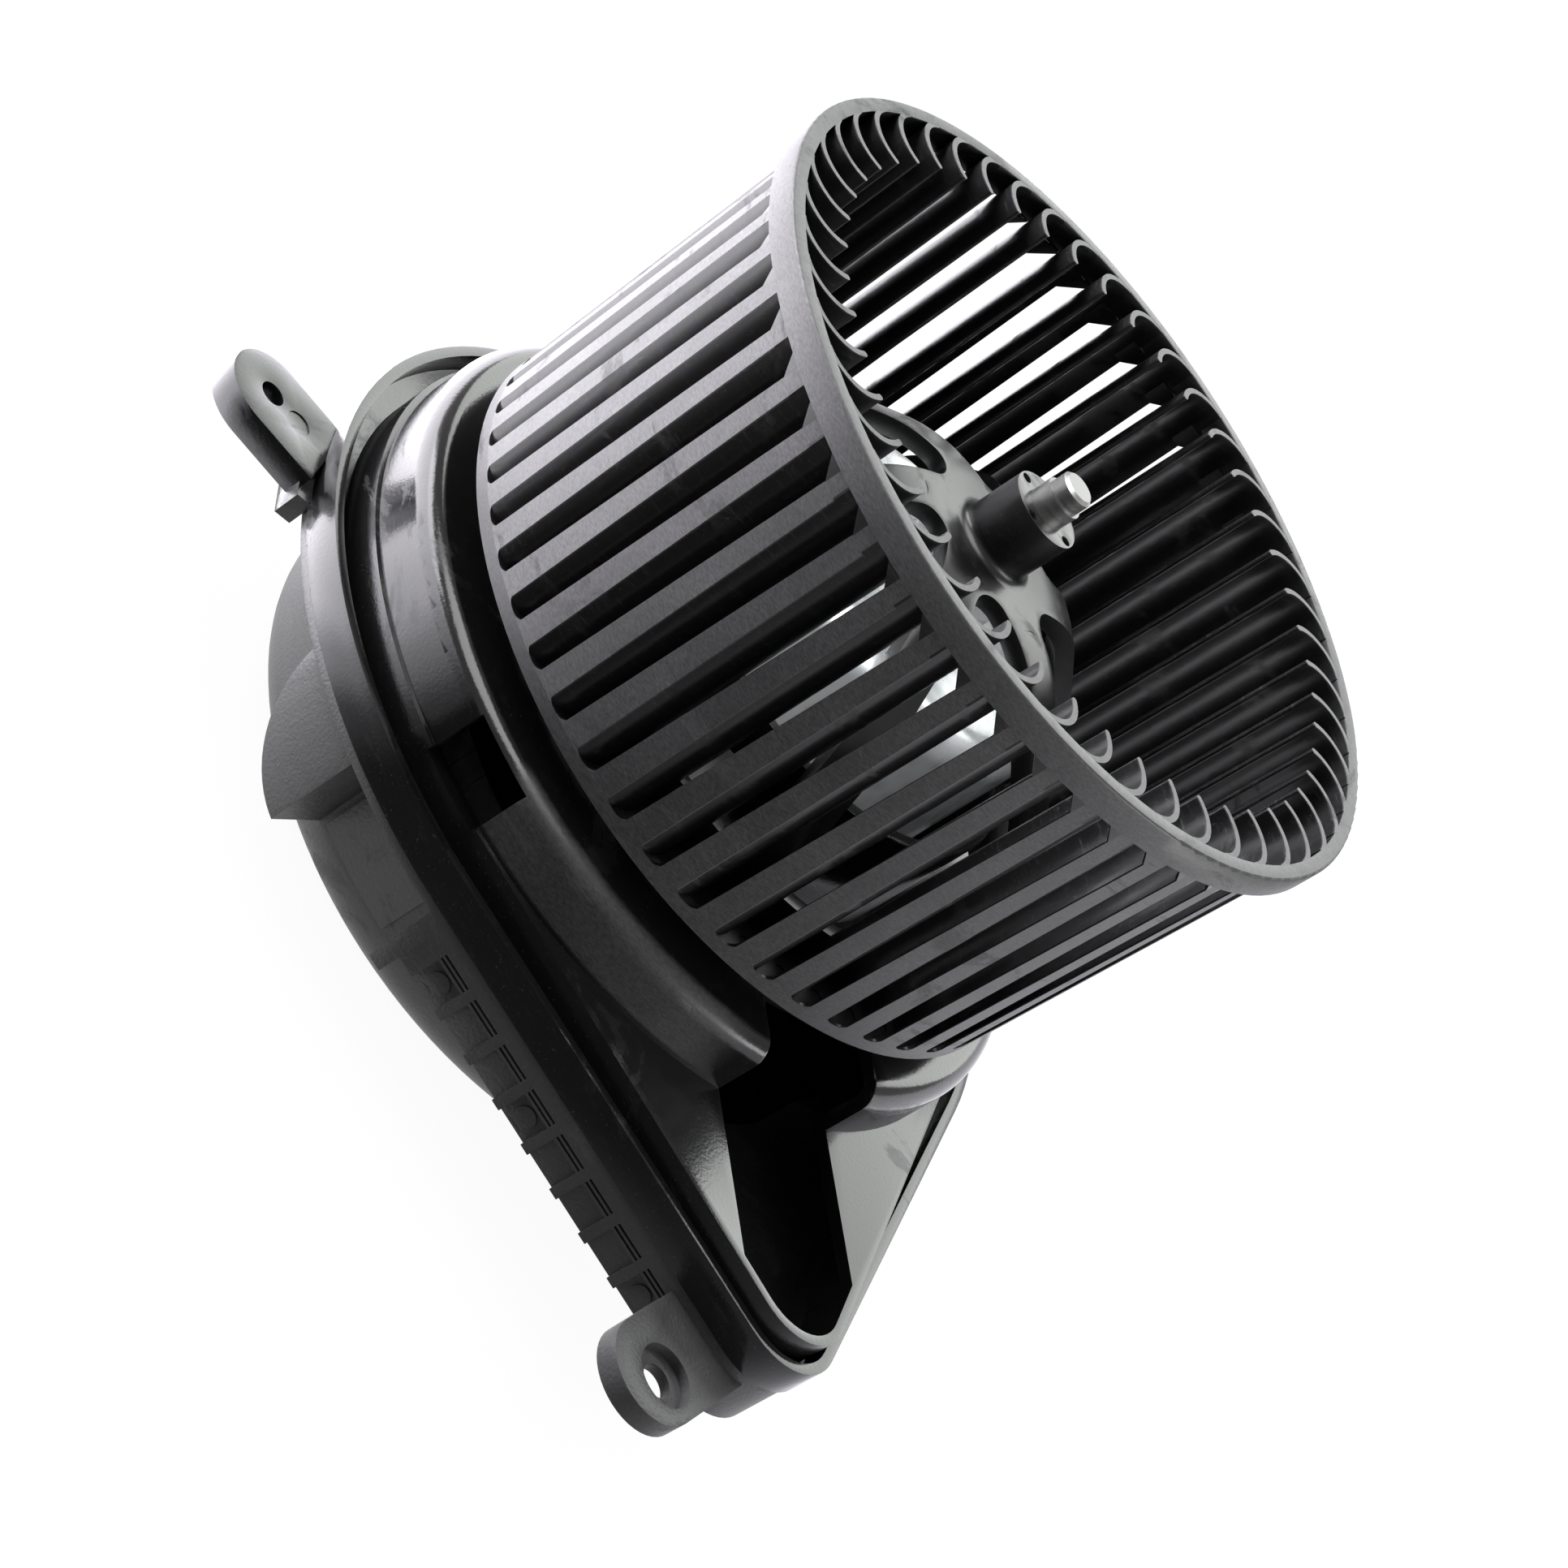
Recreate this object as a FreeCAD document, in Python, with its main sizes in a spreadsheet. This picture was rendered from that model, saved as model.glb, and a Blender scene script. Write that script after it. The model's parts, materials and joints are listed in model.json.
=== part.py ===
import FreeCAD, Part
import math
import os
import Sketcher

# Heater blower: a 48-blade centrifugal wheel on the shaft of a brushed DC motor, carried by a
# teardrop-shaped mounting flange with a moulded rear cover.
# Frame: millimetres, +Z along the fan axis towards the open end of the wheel, the teardrop's tip
# towards -Y, and the origin on the fan axis in the plane of the platform that carries the collar.
# Sub-parts are drawn with z = 0 in the plane of the flange's rim, and the Placement of each one
# lowers it into that frame.

doc = FreeCAD.newDocument("blower_motor_wheel")
sheet = doc.addObject("Spreadsheet::Sheet", "Dims")

DIMENSIONS = {
    # mounting flange
    "flange_radius": 83.2, "flange_wall": 2.0, "flange_depth": 6.8, "floor_thickness": 2.0,
    "tip_x": 5.9, "tip_y": -110.2, "tip_radius": 12.7,
    "platform_radius": 77.0, "platform_tip_x": 6.3, "platform_tip_y": -106.7,
    "platform_tip_radius": 12.2, "platform_top": 3.0,
    "collar_radius": 76.0, "collar_top": 15.0, "collar_wall": 3.0, "collar_rounding": 4.0,
    "shelf_thickness": 2.5, "cradle_inner": 39.5, "cradle_wall": 2.5, "cradle_top": 39.5,
    "cradle_bottom": -12.0, "arch_angle": 51.5, "arch_width": 11.0, "arch_low": 19.0,
    "arch_high": 31.0, "mouth_left": -6.9, "mouth_right": 21.2, "mouth_rim": 1.8,
    "mouth_inner_y": -62.0, "window_angle": 212.6, "window_width": 15.0, "window_bottom": 1.9,
    "window_top": 13.2,
    # fixing ears
    "ear_x": -90.8, "ear_y": 33.2, "ear_radius": 8.75, "ear_top": -4.0, "ear_thickness": 5.5,
    "ear_hole": 2.4, "ear_turn": 148.7, "ear_reach": 14.0, "ear_mark_x": -85.2,
    "ear_mark_y": 29.8, "ear_mark_radius": 2.5,
    "lug_x": -15.9, "lug_y": -126.5, "lug_radius": 9.3, "lug_top": -9.0, "lug_thickness": 4.0,
    "lug_centre_x": -18.2,
    "lug_hole": 3.0, "lug_counterbore": 5.6, "lug_turn": 217.0, "lug_reach": 22.0,
    # rear cover
    "cover_radius": 82.6, "cover_tip_radius": 12.1, "cover_wall": 2.5, "cover_rim": 2.0,
    "tail_bottom": -18.3, "tail_start": -57.0, "cup_radius": 68.0, "cup_bottom": -38.0,
    "cup_rounding": 10.0, "scoop_radius": 80.5, "scoop_angle": 204.2, "scoop_rise": 22.0,
    "pocket_count": 8, "pocket_pitch": 8.5, "pocket_width": 6.5, "pocket_depth": 1.0,
    "pocket_first": 11.7, "side_angle": 222.7, "pocket_low": -19.0, "pocket_high": -12.4,
    "stud_radius": 2.0, "stud_height": 0.4, "panel_bottom": -27.5, "panel_rise": 0.6,
    # motor
    "can_radius": 35.0, "can_wall": 1.6, "can_bottom": -27.0, "can_top": 58.0,
    "can_rounding": 6.0, "boss_radius": 10.5, "boss_top": 64.5, "slot_low": 39.8,
    "slot_high": 43.5, "slot_width": 6.0, "vent_low": 44.5, "vent_high": 51.0, "vent_width": 4.0,
    "shaft_radius": 4.0, "shaft_bottom": -31.0, "shaft_step": 87.5,
    "shaft_top": 90.9, "shaft_tip_radius": 3.45, "bush_radius": 8.0, "bush_length": 8.0,
    "bush_gap": 0.04, "magnet_thickness": 6.0, "magnet_bottom": -6.0, "magnet_top": 36.0,
    "core_radius": 26.2, "core_bottom": -2.0, "core_top": 32.0, "slot_count": 12,
    "commutator_radius": 11.5, "commutator_bottom": -20.0, "commutator_top": -10.5,
    "brush_width": 5.0, "brush_height": 6.0, "brush_gap": 0.3, "brush_length": 9.0,
    "card_radius": 32.8, "card_thickness": 2.5,
    # fan wheel
    "wheel_base": 20.0, "wheel_top": 93.15, "rim_radius": 75.0, "rim_inner": 72.15,
    "rim_height": 5.15, "rim_rounding": 0.5, "base_radius": 70.6, "base_inner": 60.5,
    "base_thickness": 2.5, "mark_circle": 66.5, "mark_radius": 1.55, "mark_depth": 0.3,
    "blade_count": 48, "blade_arc": 7.3, "blade_centre_y": -5.25, "blade_top_x": 65.05,
    "blade_top_thickness": 1.1, "blade_base_x": 63.5, "blade_base_thickness": 1.4,
    "blade_clearance": 0.3, "web_right": -3.5, "web_left": -9.9, "web_shoulder": -5.2,
    "web_length": 4.6, "web_thickness": 0.95, "foot_right": -2.2, "foot_left": -5.8,
    "foot_rounding": 2.2, "foot_inner": 69.6,
    "hub_boss_radius": 7.5, "hub_top": 83.7, "dome_top": 72.3, "dome_flat": 22.0,
    "dome_wall": 3.2, "knee_radius": 47.5, "knee_z": 52.3, "drum_top": 34.0, "gap_bottom": 30.0,
    "spoke_count": 6, "gap_angle": 137.0, "gap_circle": 19.0, "gap_rounding": 4.5,
    "gap_sweep": 26.0, "notch_circle": 6.2, "notch_radius": 1.0, "notch_depth": 0.8,
}


class Dim:
    """A length made of sheet cells: its text is bound in expressions, its value seeds sketches."""

    def __init__(self, text, value):
        self.text = text
        self.value = value

    def _joined(self, sign, other, value):
        text = other.text if isinstance(other, Dim) else repr(float(other))
        return Dim("(%s %s %s)" % (self.text, sign, text), value)

    def __add__(self, other):
        return self._joined("+", other, self.value + number(other))

    def __sub__(self, other):
        return self._joined("-", other, self.value - number(other))

    def __mul__(self, other):
        return self._joined("*", other, self.value * number(other))

    def __truediv__(self, other):
        return self._joined("/", other, self.value / number(other))

    def __neg__(self):
        return Dim("(0 - %s)" % self.text, -self.value)


def number(size):
    return size.value if isinstance(size, Dim) else float(size)


def fill_sheet():
    for row, (name, size) in enumerate(DIMENSIONS.items(), start=1):
        sheet.set("A%d" % row, name.replace("_", " "))
        sheet.set("B%d" % row, str(size))
        sheet.setAlias("B%d" % row, name)
    doc.recompute()


def dim(name):
    return Dim("Dims." + name, float(sheet.get(name)))


fill_sheet()
nodes = {}


# ---------------------------------------------------------------- helpers

def bind(target, **sizes):
    for name, size in sizes.items():
        if isinstance(size, Dim):
            target.setExpression(name, size.text)
        else:
            setattr(target, name, size)
    return target


def place(target, x=0, y=0, z=0, turn=0, axis=(0, 0, 1)):
    spot = FreeCAD.Vector(number(x), number(y), number(z))
    target.Placement = FreeCAD.Placement(spot, FreeCAD.Rotation(FreeCAD.Vector(*axis), turn))
    for letter, size in zip("xyz", (x, y, z)):
        if isinstance(size, Dim):
            target.setExpression("Placement.Base." + letter, size.text)
    return target


def cylinder(name, radius, bottom, top, x=0, y=0):
    solid = bind(doc.addObject("Part::Cylinder", name), Radius=radius, Height=as_dim(top) - bottom)
    return place(solid, x, y, bottom)


def as_dim(size):
    return size if isinstance(size, Dim) else Dim(repr(float(size)), float(size))


def box(name, length, width, bottom, top, x=0, y=0, turn=0):
    """A box with its middle at x, y, turned about Z."""
    solid = bind(doc.addObject("Part::Box", name), Length=length, Width=width,
                 Height=as_dim(top) - bottom)
    c, s = math.cos(math.radians(turn)), math.sin(math.radians(turn))
    half_length, half_width = number(length) / 2, number(width) / 2
    corner_x = number(x) - c * half_length + s * half_width
    corner_y = number(y) - s * half_length - c * half_width
    return place(solid, corner_x, corner_y, bottom, turn)


def radial_box(name, inner, outer, width, bottom, top, turn):
    """A box that runs outwards from the fan axis in the direction turn."""
    middle = (number(inner) + number(outer)) / 2
    x, y = polar(middle, turn)
    return box(name, as_dim(outer) - inner, width, bottom, top, x, y, turn)


def peg(name, radius, length, x, y, z, turn):
    """A cylinder that starts at x, y, z and runs level in the direction turn."""
    solid = bind(doc.addObject("Part::Cylinder", name), Radius=radius, Height=length)
    a = math.radians(turn)
    return place(solid, x, y, z, 90, (-math.sin(a), math.cos(a), 0))


def polar(radius, angle):
    a = math.radians(angle)
    return number(radius) * math.cos(a), number(radius) * math.sin(a)


def cut(name, base, *tools):
    return joined("Part::Cut", name, base, tools)


def common(name, base, tool):
    solid = doc.addObject("Part::Common", name)
    solid.Base, solid.Tool = base, tool
    return solid


def fuse(name, *pieces):
    solid = doc.addObject("Part::MultiFuse", name)
    solid.Shapes = list(pieces)
    solid.Refine = True
    return solid


def joined(kind, name, base, tools):
    solid = doc.addObject(kind, name)
    solid.Base = base
    solid.Tool = tools[0] if len(tools) == 1 else fuse(name + "_tools", *tools)
    solid.Refine = True
    return solid


def filleted(name, base, radius, wanted):
    """Rounds the edges of base that wanted(edge) picks."""
    doc.recompute()
    solid = doc.addObject("Part::Fillet", name)
    solid.Base = base
    size = number(radius)
    picked = [i + 1 for i, edge in enumerate(base.Shape.Edges) if wanted(edge)]
    solid.Edges = [(index, size, size) for index in picked]
    return solid


def ring_edge(radius, z):
    """Picks the round edges of a given radius at a given height."""
    def wanted(edge):
        curve = edge.Curve
        return (isinstance(curve, Part.Circle) and abs(curve.Radius - number(radius)) < 0.01
                and abs(edge.BoundBox.ZMin - number(z)) < 0.01
                and abs(edge.BoundBox.ZMax - number(z)) < 0.01)
    return wanted


def new_body(name):
    return doc.addObject("PartDesign::Body", name)


def new_sketch(body, plane, name, offset=None):
    sketch = body.newObject("Sketcher::SketchObject", name)
    role = [item for item in body.Origin.OriginFeatures if item.Role == plane][0]
    sketch.AttachmentSupport = [(role, "")]
    sketch.MapMode = "FlatFace"
    if offset is not None:
        bind(sketch, **{"AttachmentOffset.Base.z": as_dim(offset)})
    return sketch


def fix_point(sketch, geometry, point, x, y):
    """Holds a sketch point at x, y from the sketch origin, bound to the sheet."""
    for kind, size in (("DistanceX", x), ("DistanceY", y)):
        index = sketch.addConstraint(Sketcher.Constraint(kind, -1, 1, geometry, point, number(size)))
        if isinstance(size, Dim):
            sketch.setExpression("Constraints[%d]" % index, size.text)


def polygon(sketch, points):
    count = len(points)
    corners = [FreeCAD.Vector(number(x), number(y), 0) for x, y in points]
    for i in range(count):
        sketch.addGeometry(Part.LineSegment(corners[i], corners[(i + 1) % count]), False)
    for i in range(count):
        sketch.addConstraint(Sketcher.Constraint("Coincident", i, 2, (i + 1) % count, 1))
    for i, (x, y) in enumerate(points):
        fix_point(sketch, i, 1, x, y)


def revolved(name, profile):
    """A body turned about the fan axis from corners given as radius, height."""
    body = new_body(name)
    sketch = new_sketch(body, "XZ_Plane", name + "_profile")
    polygon(sketch, profile)
    turn = body.newObject("PartDesign::Revolution", name + "_turn")
    turn.Profile = sketch
    turn.ReferenceAxis = (sketch, ["V_Axis"])
    turn.Angle = 360.0
    return body


def padded(name, outline, bottom, top):
    """A body padded along Z from corners given as x, y."""
    body = new_body(name)
    sketch = new_sketch(body, "XY_Plane", name + "_outline", bottom)
    polygon(sketch, outline)
    pad = body.newObject("PartDesign::Pad", name + "_pad")
    pad.Profile = sketch
    bind(pad, Length=as_dim(top) - bottom)
    return body


def teardrop(name, radius, tip_x, tip_y, tip_radius, bottom, top):
    """A body with the flange's outline: two arcs joined by their two tangent lines."""
    body = new_body(name)
    sketch = new_sketch(body, "XY_Plane", name + "_outline", bottom)
    big, small = number(radius), number(tip_radius)
    tip = FreeCAD.Vector(number(tip_x), number(tip_y), 0)
    heading = math.atan2(tip.y, tip.x)
    spread = math.acos((big - small) / tip.Length)
    up = FreeCAD.Vector(0, 0, 1)
    main = Part.Circle(FreeCAD.Vector(), up, big)
    nose = Part.Circle(tip, up, small)
    first, last = heading + spread, heading - spread
    sketch.addGeometry(Part.ArcOfCircle(main, first, last + 2 * math.pi), False)
    sketch.addGeometry(Part.ArcOfCircle(nose, last, first), False)
    for angle in (first, last):
        ray = FreeCAD.Vector(math.cos(angle), math.sin(angle), 0)
        sketch.addGeometry(Part.LineSegment(ray * big, tip + ray * small), False)
    sketch.addConstraint(Sketcher.Constraint("Coincident", 0, 3, -1, 1))
    for arc, arc_end, line, line_end in ((0, 1, 2, 1), (1, 2, 2, 2), (0, 2, 3, 1), (1, 1, 3, 2)):
        sketch.addConstraint(Sketcher.Constraint("Tangent", arc, arc_end, line, line_end))
    for arc, size in ((0, radius), (1, tip_radius)):
        index = sketch.addConstraint(Sketcher.Constraint("Radius", arc, number(size)))
        sketch.setExpression("Constraints[%d]" % index, as_dim(size).text)
    fix_point(sketch, 1, 3, tip_x, tip_y)
    pad = body.newObject("PartDesign::Pad", name + "_pad")
    pad.Profile = sketch
    bind(pad, Length=as_dim(top) - bottom)
    return body


def node(label, solid):
    """Makes solid the sub-part that is written to parts/label.step, lowered into the frame."""
    solid.Label = label
    bind(solid, **{"Placement.Base.z": -dim("platform_top")})
    nodes[label] = solid
    return solid


def around(count, start=0.0):
    return [start + 360.0 * i / count for i in range(count)]


# ---------------------------------------------------------------- fan wheel

def wheel_rim():
    bottom = dim("wheel_top") - dim("rim_height")
    corners = [(dim("rim_inner"), bottom), (dim("rim_radius"), bottom),
               (dim("rim_radius"), dim("wheel_top")), (dim("rim_inner"), dim("wheel_top"))]
    node("wheel_rim", filleted("rim_rounded", revolved("rim", corners), dim("rim_rounding"),
                               ring_edge(dim("rim_radius"), dim("wheel_top"))))


def blade_section(body, name, height, centre_x, thickness, root_angle):
    """One end of a blade: a curved strip from its root at the outside to its round inner edge."""
    sketch = new_sketch(body, "XY_Plane", name, height)
    tip, root = math.radians(111.0), math.radians(root_angle)
    up = FreeCAD.Vector(0, 0, 1)
    middle = FreeCAD.Vector(number(centre_x), number(dim("blade_centre_y")), 0)
    outer, inner = dim("blade_arc") + thickness / 2, dim("blade_arc") - thickness / 2

    def spot(radius, angle):
        return middle + FreeCAD.Vector(math.cos(angle), math.sin(angle), 0) * number(radius)

    for radius in (outer, inner):
        circle = Part.Circle(middle, up, number(radius))
        sketch.addGeometry(Part.ArcOfCircle(circle, root, tip), False)
    sketch.addGeometry(Part.LineSegment(spot(outer, root), spot(inner, root)), False)
    tip_round = Part.Circle(spot(dim("blade_arc"), tip), up, number(thickness) / 2)
    sketch.addGeometry(Part.ArcOfCircle(tip_round, tip, tip + math.pi), False)
    for first, first_end, second, second_end in ((0, 1, 2, 1), (1, 1, 2, 2), (0, 2, 3, 1),
                                                 (1, 2, 3, 2)):
        sketch.addConstraint(Sketcher.Constraint("Coincident", first, first_end, second, second_end))
    sketch.addConstraint(Sketcher.Constraint("Coincident", 0, 3, 1, 3))
    fix_point(sketch, 0, 3, centre_x, dim("blade_centre_y"))
    for index, radius in ((0, outer), (1, inner)):
        bound = sketch.addConstraint(Sketcher.Constraint("Radius", index, number(radius)))
        sketch.setExpression("Constraints[%d]" % bound, radius.text)
    return sketch


def blade_foot(body, base):
    """The rounded corners where a blade meets the back ring."""
    sketch = new_sketch(body, "YZ_Plane", "foot_section", dim("foot_inner"))
    rounding = dim("foot_rounding")
    size = number(rounding)
    right, left = dim("foot_right"), dim("foot_left")
    corners = [(right + rounding, base), (left - rounding, base), (left, base + rounding),
               (right, base + rounding)]
    a, b, c, d = [FreeCAD.Vector(number(x), number(z), 0) for x, z in corners]
    up = FreeCAD.Vector(0, 0, 1)
    raised = FreeCAD.Vector(0, size, 0)
    sketch.addGeometry(Part.LineSegment(a, b), False)
    sketch.addGeometry(Part.ArcOfCircle(Part.Circle(b + raised, up, size), -math.pi / 2, 0), False)
    sketch.addGeometry(Part.LineSegment(c, d), False)
    sketch.addGeometry(Part.ArcOfCircle(Part.Circle(a + raised, up, size), math.pi,
                                        math.pi * 3 / 2), False)
    for i in range(4):
        sketch.addConstraint(Sketcher.Constraint("Coincident", i, 2, (i + 1) % 4, 1))
    for line, end, (x, z) in ((0, 1, corners[0]), (0, 2, corners[1]), (2, 1, corners[2]),
                              (2, 2, corners[3])):
        fix_point(sketch, line, end, x, z)
    for arc in (1, 3):
        bound = sketch.addConstraint(Sketcher.Constraint("Radius", arc, size))
        sketch.setExpression("Constraints[%d]" % bound, rounding.text)
    pad = body.newObject("PartDesign::Pad", "foot_pad")
    pad.Profile = sketch
    bind(pad, Length=dim("base_radius") - dim("foot_inner") + 0.5)
    return pad


def blade_web(body, top):
    """The small web that ties a blade to the rim, on the side towards the next blade."""
    sketch = new_sketch(body, "YZ_Plane", "web_section", dim("rim_inner") - dim("web_thickness"))
    low = top - dim("web_length")
    polygon(sketch, [(dim("web_right"), top), (dim("web_left"), top), (dim("web_shoulder"), low),
                     (dim("web_right"), low)])
    pad = body.newObject("PartDesign::Pad", "web_pad")
    pad.Profile = sketch
    bind(pad, Length=dim("web_thickness") * 2)
    return pad


def wheel_blades():
    """Forward-curved, slightly conical blades with their webs and rounded feet, as one group."""
    blades = new_body("blades")
    base = dim("wheel_base") + dim("base_thickness")
    rim_bottom = dim("wheel_top") - dim("rim_height")
    low = blade_section(blades, "blade_base", base, dim("blade_base_x"),
                        dim("blade_base_thickness"), -8.0)
    high = blade_section(blades, "blade_top", dim("wheel_top"), dim("blade_top_x"),
                         dim("blade_top_thickness"), 0.0)
    loft = blades.newObject("PartDesign::AdditiveLoft", "blade_loft")
    loft.Profile = low
    loft.Sections = [(high, [""])]
    loft.Ruled = True
    pads = [loft, blade_foot(blades, base), blade_web(blades, rim_bottom)]
    ring = blades.newObject("PartDesign::PolarPattern", "blade_ring")
    ring.Originals = pads
    ring.Axis = (low, ["N_Axis"])
    ring.Angle = 360.0
    bind(ring, Occurrences=dim("blade_count"))
    blades.Tip = ring

    taper = doc.addObject("Part::Cone", "wheel_taper")
    bind(taper, Radius1=dim("base_radius"), Radius2=dim("rim_inner"), Height=rim_bottom - base)
    place(taper, z=base)
    straight = cylinder("wheel_straight", dim("rim_inner"), rim_bottom, dim("wheel_top"))
    core = cylinder("wheel_core", dim("base_inner") + dim("blade_clearance"), base - 1,
                    dim("wheel_top") + 1)
    envelope = cut("wheel_envelope", fuse("wheel_outside", taper, straight), core)
    node("wheel_blades", common("blades_trimmed", blades, envelope))


def wheel_back_ring():
    """Flat ring that carries the blades, with a round ejector mark in each gap."""
    base, top = dim("wheel_base"), dim("wheel_base") + dim("base_thickness")
    corners = [(dim("base_inner"), base), (dim("base_radius"), base),
               (dim("base_radius"), top), (dim("base_inner"), top)]
    marks = []
    for i, angle in enumerate(around(int(number(dim("blade_count"))), 4.9)):
        marks.append(cylinder("ring_mark_%d" % i, dim("mark_radius"), top - dim("mark_depth"),
                              top + 1, *polar(dim("mark_circle"), angle)))
    node("wheel_back_ring", cut("back_ring_marked", revolved("back_ring", corners), *marks))


def bell(name, inset, bottom):
    """The dome's outline turned about the axis: flat top, two slopes and a straight drum."""
    shoulder = (dim("dome_flat") - inset * 0.5, dim("dome_top") - inset)
    knee = (dim("knee_radius") - inset * 0.9, dim("knee_z") - inset * 0.65)
    eave = (dim("base_inner") - inset, dim("drum_top") - inset * 0.3)
    solid = revolved(name, [(0, shoulder[1]), shoulder, knee, eave, (eave[0], bottom), (0, bottom)])
    for corner, place_name, radius in ((shoulder, "shoulder", 26.0), (knee, "knee", 40.0),
                                       (eave, "eave", 8.0)):
        solid = filleted("%s_%s" % (name, place_name), solid, radius - number(inset),
                         ring_edge(*corner))
    return solid


def spoke_gaps(bottom, top):
    """Swept openings between the spokes: sectors with a round inner end."""
    count = int(number(dim("spoke_count")))
    half = 180.0 / count
    rounding = number(dim("gap_rounding"))
    bodies = []
    for i, angle in enumerate(around(count, number(dim("gap_angle")))):
        body = new_body("spoke_gap_%d" % i)
        sketch = new_sketch(body, "XY_Plane", "spoke_gap_outline_%d" % i, bottom)
        heading = angle + number(dim("gap_sweep"))
        x, y = polar(dim("gap_circle"), angle)
        centre = FreeCAD.Vector(x, y, 0)
        first, last = heading + half + 90.0, heading - half + 270.0
        left = centre + FreeCAD.Vector(*polar(rounding, first), 0)
        right = centre + FreeCAD.Vector(*polar(rounding, last), 0)
        far_left = left + FreeCAD.Vector(*polar(dim("rim_radius"), heading + half), 0)
        far_right = right + FreeCAD.Vector(*polar(dim("rim_radius"), heading - half), 0)
        circle = Part.Circle(centre, FreeCAD.Vector(0, 0, 1), rounding)
        sketch.addGeometry(Part.ArcOfCircle(circle, math.radians(first), math.radians(last)), False)
        for a, b in ((left, far_left), (far_left, far_right), (far_right, right)):
            sketch.addGeometry(Part.LineSegment(a, b), False)
        for kind, one, one_end, other, other_end in (("Tangent", 0, 1, 1, 1), ("Tangent", 0, 2, 3, 2),
                                                     ("Coincident", 1, 2, 2, 1),
                                                     ("Coincident", 2, 2, 3, 1)):
            sketch.addConstraint(Sketcher.Constraint(kind, one, one_end, other, other_end))
        bound = sketch.addConstraint(Sketcher.Constraint("Radius", 0, rounding))
        sketch.setExpression("Constraints[%d]" % bound, dim("gap_rounding").text)
        fix_point(sketch, 0, 3, x, y)
        fix_point(sketch, 2, 1, far_left.x, far_left.y)
        fix_point(sketch, 2, 2, far_right.x, far_right.y)
        pad = body.newObject("PartDesign::Pad", "spoke_gap_pad_%d" % i)
        pad.Profile = sketch
        bind(pad, Length=as_dim(top) - bottom)
        bodies.append(body)
    return bodies


def wheel_hub():
    """Boss, rounded dome and six swept spokes that come down to a drum on the back ring."""
    top, wall = dim("dome_top"), dim("dome_wall")
    foot = dim("wheel_base")
    shell = cut("dome_shell", bell("dome_outside", wall * 0.0, foot),
                bell("dome_inside", wall, foot - 1))
    spokes = cut("spokes", shell, *spoke_gaps(dim("gap_bottom"), top + 2))
    boss = cylinder("hub_boss", dim("hub_boss_radius"), top - wall, dim("hub_top"))
    rounded = filleted("hub_rounded", fuse("hub_joined", spokes, boss), 2.0,
                       ring_edge(dim("hub_boss_radius"), top))
    bore = cylinder("hub_bore", dim("shaft_radius"), top - wall - 1, dim("hub_top") + 1)
    tools = [bore]
    for i, angle in enumerate(around(4, 39.0)):
        tools.append(cylinder("hub_notch_%d" % i, dim("notch_radius"),
                              dim("hub_top") - dim("notch_depth"), dim("hub_top") + 1,
                              *polar(dim("notch_circle"), angle)))
    for i, angle in enumerate(around(3, 170.0)):
        tools.append(cylinder("ejector_mark_%d" % i, 3.2, top - 0.4, top + 1, *polar(20.0, angle)))
    node("wheel_hub", cut("hub_finished", rounded, *tools))


# ---------------------------------------------------------------- motor

def motor_shaft():
    chamfer = 0.6
    corners = [(0, dim("shaft_bottom")), (dim("shaft_radius"), dim("shaft_bottom")),
               (dim("shaft_radius"), dim("shaft_step")),
               (dim("shaft_tip_radius"), dim("shaft_step")),
               (dim("shaft_tip_radius"), dim("shaft_top") - chamfer),
               (dim("shaft_tip_radius") - chamfer, dim("shaft_top")), (0, dim("shaft_top"))]
    node("motor_shaft", revolved("shaft", corners))


def armature():
    """Slotted laminated core, copper end turns at both ends and the commutator."""
    core = cylinder("core_blank", dim("core_radius"), dim("core_bottom"), dim("core_top"))
    slots = [radial_box("core_slot_%d" % i, 15.0, 25.0, 4.6, -5, 40, angle)
             for i, angle in enumerate(around(int(number(dim("slot_count")))))]
    necks = [radial_box("core_neck_%d" % i, 24.0, 28.0, 1.8, -5, 40, angle)
             for i, angle in enumerate(around(int(number(dim("slot_count")))))]
    bore = cylinder("core_bore", dim("shaft_radius"), -5, 40)
    node("armature_core", cut("core", core, bore, *(slots + necks)))

    bars = [radial_box("slot_bar_%d" % i, 15.4, 24.6, 3.8, dim("core_bottom") - 2,
                       dim("core_top") + 2, angle)
            for i, angle in enumerate(around(int(number(dim("slot_count")))))]
    front = revolved("front_turns", [(8, dim("core_top") + 0.5), (24.6, dim("core_top") + 0.5),
                                     (23.6, dim("core_top") + 8), (19, dim("core_top") + 12),
                                     (10, dim("core_top") + 10)])
    rear = revolved("rear_turns", [(8, dim("core_bottom") - 0.5), (10, dim("core_bottom") - 6),
                                   (18, dim("core_bottom") - 7), (23, dim("core_bottom") - 4.5),
                                   (24.6, dim("core_bottom") - 0.5)])
    node("armature_windings", fuse("windings", front, rear, *bars))

    segments = cylinder("commutator_blank", dim("commutator_radius"), dim("commutator_bottom"),
                        dim("commutator_top"))
    gaps = [radial_box("segment_gap_%d" % i, dim("commutator_radius") - 1.2,
                       dim("commutator_radius") + 1, 0.6, dim("commutator_bottom") - 1,
                       dim("commutator_top") - 2, angle)
            for i, angle in enumerate(around(12, 15.0))]
    hole = cylinder("commutator_bore", dim("shaft_radius"), -25, 0)
    node("commutator", cut("commutator_cut", segments, hole, *gaps))


def washer(label, bottom, top):
    corners = [(dim("shaft_radius"), bottom), (7.0, bottom), (7.0, top),
               (dim("shaft_radius"), top)]
    node(label, revolved(label + "_body", corners))


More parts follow.
